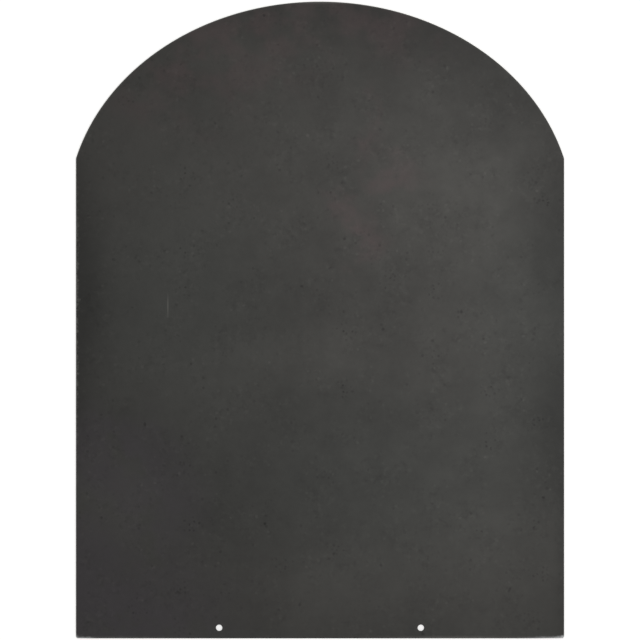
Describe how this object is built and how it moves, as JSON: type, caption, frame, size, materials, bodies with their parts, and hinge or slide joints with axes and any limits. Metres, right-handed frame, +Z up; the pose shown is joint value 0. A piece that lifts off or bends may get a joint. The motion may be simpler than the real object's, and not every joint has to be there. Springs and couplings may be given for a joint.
{
  "type": "hearth pad",
  "caption": "Flat dark steel hearth plate with an arched front, a straight wall edge with fixing holes, and rubber anti-slip pads underneath.",
  "frame": {"origin": "on the floor under the middle of the plate's length and width", "axes": "+X along the wall to the right, +Y from the wall edge towards the arched front, +Z up out of the plate's top face"},
  "size_m": [0.92, 1.2, 0.005],
  "materials": {
    "blackened_steel": "satin",
    "pad_rubber": "matte"
  },
  "bodies": {
    "root": {"steel_plate": "blackened_steel", "pad_wall_left": "pad_rubber", "pad_wall_centre": "pad_rubber", "pad_wall_right": "pad_rubber", "pad_side_left": "pad_rubber", "pad_side_right": "pad_rubber", "pad_shoulder_left": "pad_rubber", "pad_shoulder_right": "pad_rubber", "pad_arch_left": "pad_rubber", "pad_arch_right": "pad_rubber", "pad_crown": "pad_rubber", "pad_middle_rear": "pad_rubber", "pad_middle_front": "pad_rubber"}
  },
  "joints": []
}
